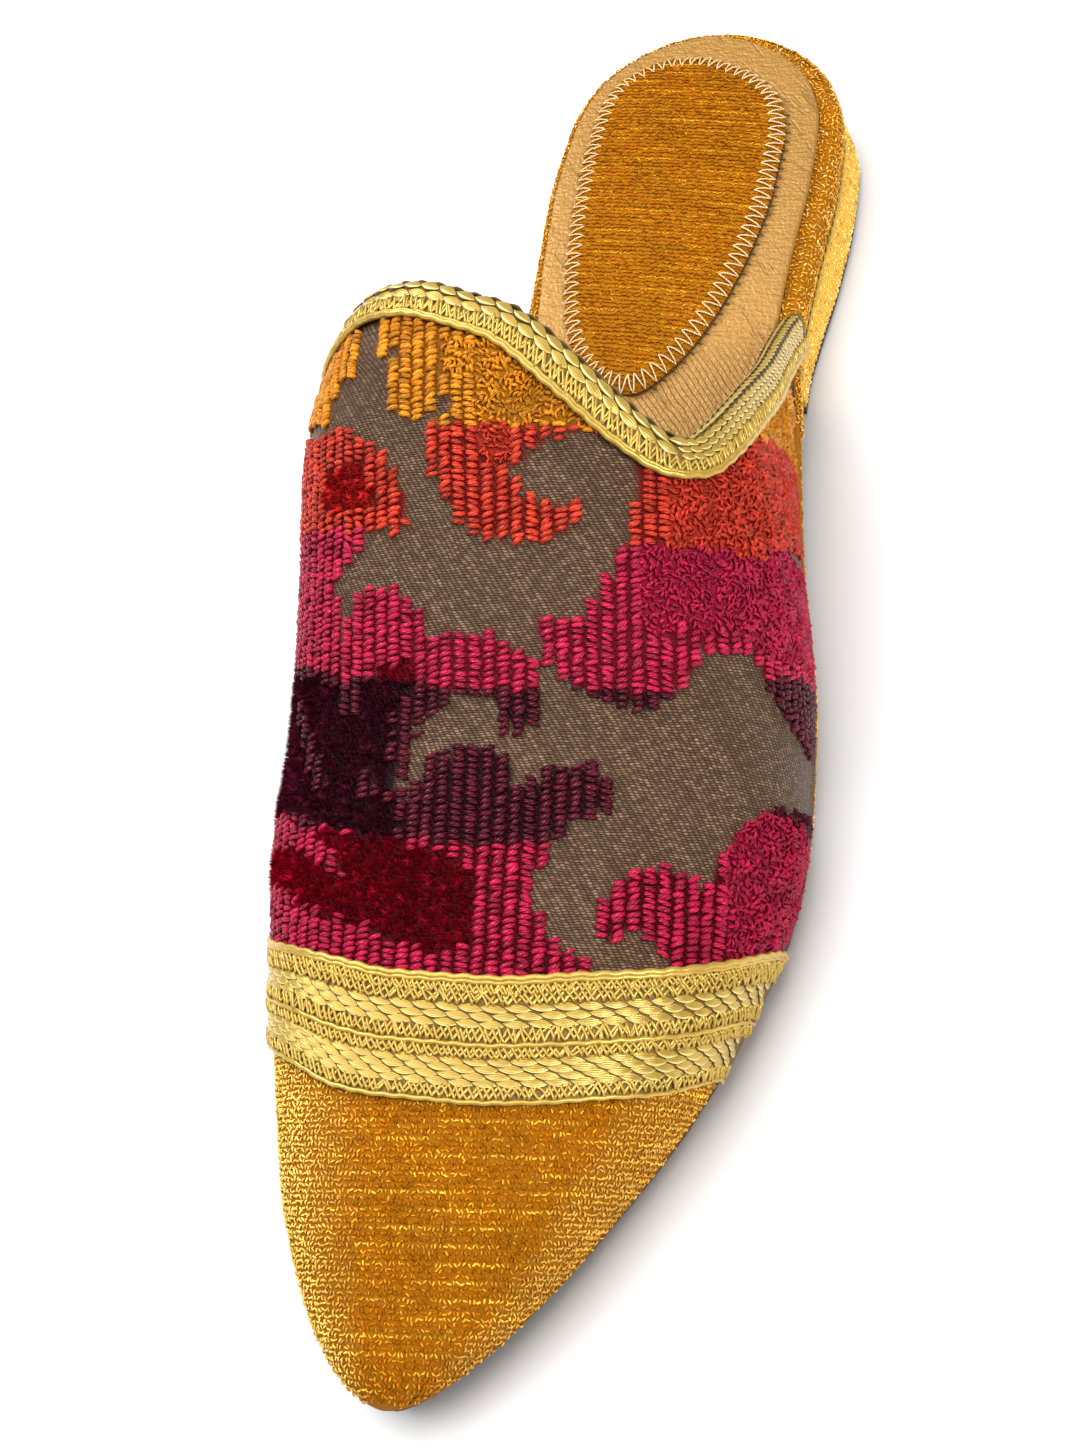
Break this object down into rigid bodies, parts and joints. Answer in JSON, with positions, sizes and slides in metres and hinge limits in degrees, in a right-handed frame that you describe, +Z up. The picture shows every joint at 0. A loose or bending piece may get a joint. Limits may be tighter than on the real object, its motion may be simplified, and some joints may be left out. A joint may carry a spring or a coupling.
{
  "type": "babouche",
  "caption": "Pointed backless slipper: hollow figured-velvet upper with ochre toe cap, gold braid at toe and collar, gold leather insole, padded edge and low covered heel.",
  "frame": {"origin": "middle of the bounding box on the floor that the shoe stands on", "axes": "+Z up; +Y from the pointed toe to the heel; +X to the outer side of the left foot"},
  "size_m": [0.0866, 0.269, 0.0695],
  "materials": {
    "sole_leather": "dull dark leather",
    "heel_velvet": "pale yellow velvet",
    "lift_rubber": "matt dark rubber",
    "ochre_chenille": "ribbed ochre chenille pile",
    "gold_leather": "grained gold foil leather",
    "figured_velvet": "loop and cut pile on taupe satin",
    "gold_braid": "metallic gold thread braid"
  },
  "bodies": {
    "root": {"outsole": "sole_leather", "heel": "heel_velvet", "heel_lift": "lift_rubber", "midsole": "ochre_chenille", "insole": "gold_leather", "heel_pad": "ochre_chenille", "upper": "figured_velvet", "toe_band": "gold_braid", "collar_binding": "gold_braid"}
  },
  "joints": []
}
